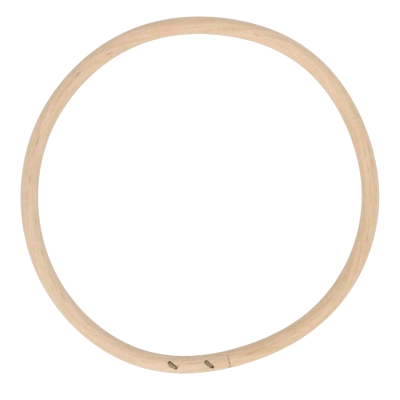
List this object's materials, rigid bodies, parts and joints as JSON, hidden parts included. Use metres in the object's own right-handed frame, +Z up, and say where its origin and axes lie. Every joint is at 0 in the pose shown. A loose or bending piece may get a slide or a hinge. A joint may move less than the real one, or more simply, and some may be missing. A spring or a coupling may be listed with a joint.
{
  "type": "embroidery hoop",
  "caption": "Round embroidery hoop bent from a peeled cane rod, its lapped ends glued and stapled, open in the middle for the cloth or thread stretched across it.",
  "frame": {"origin": "on the surface that the hoop lies on, under the middle of the ring's outline", "axes": "+Z up, square to the ring; the lap joint is towards -Y, and +X is to the right as the ring is seen from above with its lap nearest"},
  "size_m": [0.2, 0.199, 0.01],
  "materials": {
    "cane_wood": "sanded, unvarnished",
    "dried_glue": "dried glue",
    "staple_wire": "dull, tarnished"
  },
  "bodies": {
    "root": {"hoop_rod": "cane_wood", "lap_glue": "dried_glue", "staple_left": "staple_wire", "staple_right": "staple_wire"}
  },
  "joints": []
}
